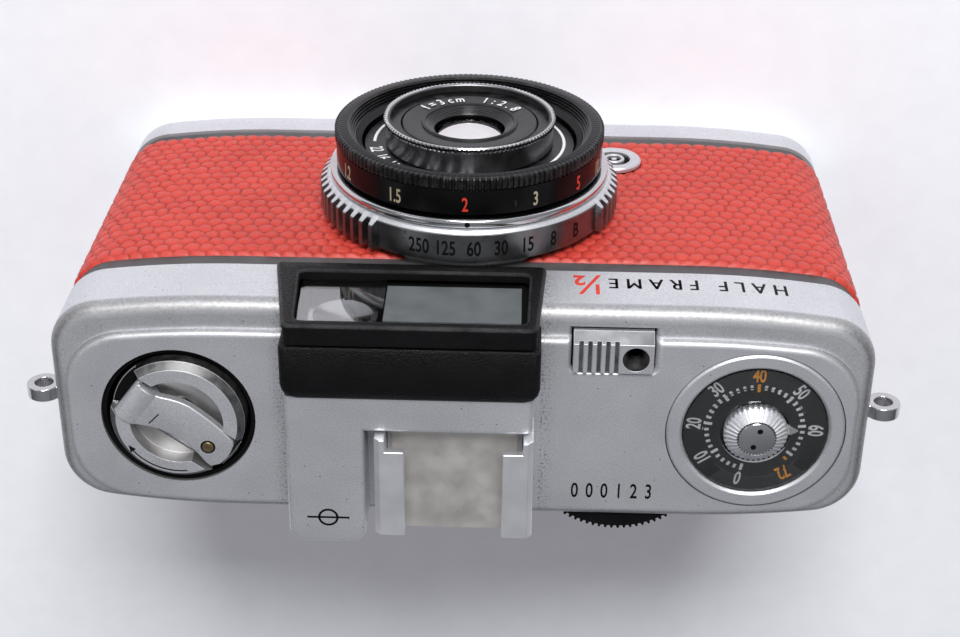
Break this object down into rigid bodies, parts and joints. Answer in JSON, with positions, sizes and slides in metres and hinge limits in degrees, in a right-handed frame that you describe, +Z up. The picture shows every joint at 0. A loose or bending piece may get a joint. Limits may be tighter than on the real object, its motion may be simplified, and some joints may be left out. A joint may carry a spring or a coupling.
{
  "type": "half frame camera",
  "caption": "Compact viewfinder film camera for half frames, with rewind crank, frame counter, thumb winding wheel, accessory shoe and a lens in three turning rings.",
  "frame": {"origin": "mouth of the tripod bush, on the plane the camera stands on", "axes": "+Z up, the lens faces -Y, +X to the right of a person who looks into the lens"},
  "size_m": [0.1174, 0.049, 0.0692],
  "materials": {
    "satin_chrome": "satin",
    "bright_chrome": "polished",
    "casting_grey": "matt grey",
    "red_leather": "embossed scale grain",
    "black_paint": "satin black",
    "black_metal": "matt black",
    "shoe_nickel": "dull nickel",
    "steel": "satin",
    "brass": "satin",
    "clear_glass": "polished",
    "frosted_glass": "frosted",
    "coated_glass": "coated",
    "mirror_glass": "silvered",
    "blade_steel": "blued"
  },
  "bodies": {
    "body": {"body_casting": "casting_grey", "front_leather": "red_leather", "top_cover": "satin_chrome", "viewfinder_hood": "black_paint", "viewfinder_housing": "black_metal", "viewfinder_window": "clear_glass", "frame_window": "frosted_glass", "viewfinder_objective": "clear_glass", "viewfinder_mirrors": "mirror_glass", "eyepiece": "black_metal", "strap_lugs": "steel", "rewind_well": "black_metal", "button_guide": "black_metal", "button_spring": "steel", "shoe_floor": "shoe_nickel", "shoe_rails": "satin_chrome", "counter_bezel": "satin_chrome", "counter_dial": "black_paint", "counter_window": "clear_glass", "sync_socket": "steel", "shutter_housing": "steel", "index_ring": "bright_chrome"},
    "back": {"base_plate": "satin_chrome", "back_panel": "casting_grey", "back_leather": "red_leather", "pressure_plate": "black_metal", "pressure_spring": "steel", "tripod_bush": "steel"},
    "back_lock": {"lock_disc": "satin_chrome"},
    "lock_handle": {"lock_handle": "bright_chrome"},
    "winding": {"wind_wheel": "black_paint", "winding_shaft": "steel", "film_sprocket": "steel"},
    "idler": {"idler_gear": "brass"},
    "take_up": {"take_up_spool": "black_metal", "take_up_gear": "steel"},
    "counter": {"counter_pointer": "black_metal", "counter_knob": "bright_chrome"},
    "rewind": {"rewind_knob": "satin_chrome", "rewind_shaft": "steel", "crank_pin": "steel"},
    "crank": {"rewind_crank": "satin_chrome"},
    "grip": {"crank_grip": "brass"},
    "button": {"shutter_button": "bright_chrome"},
    "speed": {"speed_ring": "bright_chrome"},
    "focus": {"focus_ring": "black_paint"},
    "lens": {"lens_barrel": "black_paint", "rear_cell": "black_metal", "name_ring": "black_paint", "front_element": "coated_glass", "rear_element": "coated_glass"},
    "aperture": {"aperture_ring": "bright_chrome"},
    "iris_1": {"iris_blade_1": "blade_steel"},
    "iris_2": {"iris_blade_2": "blade_steel"},
    "iris_3": {"iris_blade_3": "blade_steel"},
    "iris_4": {"iris_blade_4": "blade_steel"},
    "iris_5": {"iris_blade_5": "blade_steel"},
    "shutter_1": {"shutter_blade_1": "blade_steel"},
    "shutter_2": {"shutter_blade_2": "blade_steel"},
    "shutter_3": {"shutter_blade_3": "blade_steel"}
  },
  "joints": [
    {"name": "back_slide", "type": "slide", "parent": "body", "child": "back", "axis": [0, 0, -1], "range_m": [0, 0.06]},
    {"name": "lock_turn", "type": "hinge", "parent": "back", "child": "back_lock", "pos_m": [0.036, 0.001, 0], "axis": [0, 0, 1], "range_deg": [0, 90]},
    {"name": "handle_fold", "type": "hinge", "parent": "back_lock", "child": "lock_handle", "pos_m": [0.036, -0.0007, 0.00036], "axis": [-1, 0, 0], "range_deg": [0, 90]},
    {"name": "wheel_turn", "type": "hinge", "parent": "body", "child": "winding", "pos_m": [-0.0213, 0.008, 0.058], "axis": [0, 0, 1], "continuous": true},
    {"name": "idler_turn", "type": "hinge", "parent": "body", "child": "idler", "pos_m": [-0.03079, 0.00414, 0.052], "axis": [0, 0, 1], "continuous": true},
    {"name": "spool_turn", "type": "hinge", "parent": "body", "child": "take_up", "pos_m": [-0.0389, 0.00084, 0.03], "axis": [0, 0, 1], "continuous": true},
    {"name": "counter_turn", "type": "hinge", "parent": "body", "child": "counter", "pos_m": [-0.0389, 0.0028, 0.062], "axis": [0, 0, 1], "continuous": true},
    {"name": "rewind_turn", "type": "hinge", "parent": "body", "child": "rewind", "pos_m": [0.0374, 0.0025, 0.06], "axis": [0, 0, 1], "continuous": true},
    {"name": "crank_fold", "type": "hinge", "parent": "rewind", "child": "crank", "pos_m": [0.0434, -0.0012, 0.06275], "axis": [0.6, 0.8, 0], "range_deg": [0, 120]},
    {"name": "grip_turn", "type": "hinge", "parent": "crank", "child": "grip", "pos_m": [0.03348, 0.00624, 0.06275], "axis": [0, 0, 1], "continuous": true},
    {"name": "release_press", "type": "slide", "parent": "body", "child": "button", "axis": [0, 0, -1], "range_m": [0, 0.0025], "stiffness_N_per_m": 400, "springref_m": -0.002, "deforming": ["button_spring"]},
    {"name": "speed_turn", "type": "hinge", "parent": "body", "child": "speed", "pos_m": [0, -0.018, 0.0312], "axis": [0, 1, 0], "range_deg": [-21.5, 43]},
    {"name": "focus_turn", "type": "hinge", "parent": "body", "child": "focus", "pos_m": [0, -0.024, 0.0312], "axis": [0, 1, 0], "range_deg": [-221, 90]},
    {"name": "lens_travel", "type": "slide", "parent": "body", "child": "lens", "axis": [0, -1, 0], "range_m": [-0.00047, 0.00114]},
    {"name": "aperture_turn", "type": "hinge", "parent": "lens", "child": "aperture", "pos_m": [0, -0.027, 0.0312], "axis": [0, 1, 0], "range_deg": [0, 78]},
    {"name": "iris_swing_1", "type": "hinge", "parent": "lens", "child": "iris_1", "pos_m": [0, -0.0225, 0.0382], "axis": [0, 1, 0], "range_deg": [0, 40]},
    {"name": "iris_swing_2", "type": "hinge", "parent": "lens", "child": "iris_2", "pos_m": [0.00666, -0.0222, 0.03336], "axis": [0, 1, 0], "range_deg": [0, 40]},
    {"name": "iris_swing_3", "type": "hinge", "parent": "lens", "child": "iris_3", "pos_m": [0.00411, -0.0219, 0.02554], "axis": [0, 1, 0], "range_deg": [0, 40]},
    {"name": "iris_swing_4", "type": "hinge", "parent": "lens", "child": "iris_4", "pos_m": [-0.00411, -0.0216, 0.02554], "axis": [0, 1, 0], "range_deg": [0, 40]},
    {"name": "iris_swing_5", "type": "hinge", "parent": "lens", "child": "iris_5", "pos_m": [-0.00666, -0.0213, 0.03336], "axis": [0, 1, 0], "range_deg": [0, 40]},
    {"name": "shutter_swing_1", "type": "hinge", "parent": "body", "child": "shutter_1", "pos_m": [0, -0.0115, 0.0389], "axis": [0, 1, 0], "range_deg": [0, 30]},
    {"name": "shutter_swing_2", "type": "hinge", "parent": "body", "child": "shutter_2", "pos_m": [0.00667, -0.011, 0.02735], "axis": [0, 1, 0], "range_deg": [0, 30]},
    {"name": "shutter_swing_3", "type": "hinge", "parent": "body", "child": "shutter_3", "pos_m": [-0.00667, -0.0105, 0.02735], "axis": [0, 1, 0], "range_deg": [0, 30]}
  ],
  "couplings": [
    {"joint": "idler_turn", "follows": "wheel_turn", "ratio": -1.7333},
    {"joint": "spool_turn", "follows": "wheel_turn", "ratio": 1.3},
    {"joint": "counter_turn", "follows": "wheel_turn", "ratio": 0.025},
    {"joint": "lens_travel", "follows": "focus_turn", "m_per_rad": -0.00029293},
    {"joint": "iris_swing_1", "follows": "aperture_turn", "ratio": 0.5},
    {"joint": "iris_swing_2", "follows": "aperture_turn", "ratio": 0.5},
    {"joint": "iris_swing_3", "follows": "aperture_turn", "ratio": 0.5},
    {"joint": "iris_swing_4", "follows": "aperture_turn", "ratio": 0.5},
    {"joint": "iris_swing_5", "follows": "aperture_turn", "ratio": 0.5},
    {"joint": "shutter_swing_2", "follows": "shutter_swing_1", "ratio": 1},
    {"joint": "shutter_swing_3", "follows": "shutter_swing_1", "ratio": 1}
  ]
}
